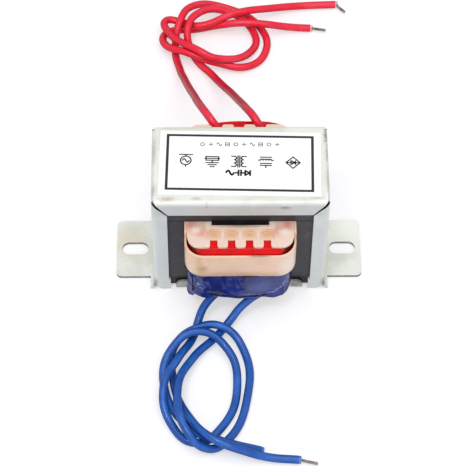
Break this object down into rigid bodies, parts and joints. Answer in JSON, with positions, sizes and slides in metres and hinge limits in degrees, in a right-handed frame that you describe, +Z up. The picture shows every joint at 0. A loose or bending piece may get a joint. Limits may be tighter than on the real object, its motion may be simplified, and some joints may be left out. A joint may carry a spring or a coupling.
{
  "type": "laminated chassis transformer",
  "caption": "Low-profile mains transformer in a folded channel frame with two slotted ears, a split bobbin with notched flanges, taped coils and flying leads.",
  "frame": {"origin": "centre of the mounting plane, under the middle of the core, with the undersides of the ears in Z = 0", "axes": "+X along the row of the two mounting ears, +Y from the secondary side to the primary side, +Z up through the roof of the frame"},
  "size_m": [0.0735, 0.1702, 0.0434],
  "materials": {
    "zinc_sheet": "galvanised, satin, with sheared bright edges",
    "clip_sheet": "galvanised, dull",
    "lamination_steel": "varnished electrical steel",
    "bobbin_nylon": "moulded, slightly translucent",
    "shroud_nylon": "moulded, slightly translucent",
    "copper_wire": "enamelled",
    "red_tape": "polyester film",
    "blue_tape": "polyester film",
    "tinned_wire": "tinned",
    "label_paper": "white film with a black border",
    "red_insulation": "soft, satin",
    "blue_insulation": "soft, satin"
  },
  "bodies": {
    "root": {"channel_frame": "zinc_sheet", "core_clip": "clip_sheet", "e_laminations": "lamination_steel", "i_laminations": "lamination_steel", "bobbin": "bobbin_nylon", "coil_shroud": "shroud_nylon", "primary_winding": "copper_wire", "primary_tape": "red_tape", "primary_joints": "tinned_wire", "secondary_winding": "copper_wire", "secondary_tape": "blue_tape", "secondary_joints": "tinned_wire", "rating_label": "label_paper", "primary_lead_left": "red_insulation", "primary_lead_right": "red_insulation", "primary_strands_left": "tinned_wire", "primary_strands_right": "tinned_wire", "secondary_lead_left": "blue_insulation", "secondary_lead_right": "blue_insulation", "secondary_strands_right": "tinned_wire"}
  },
  "joints": []
}
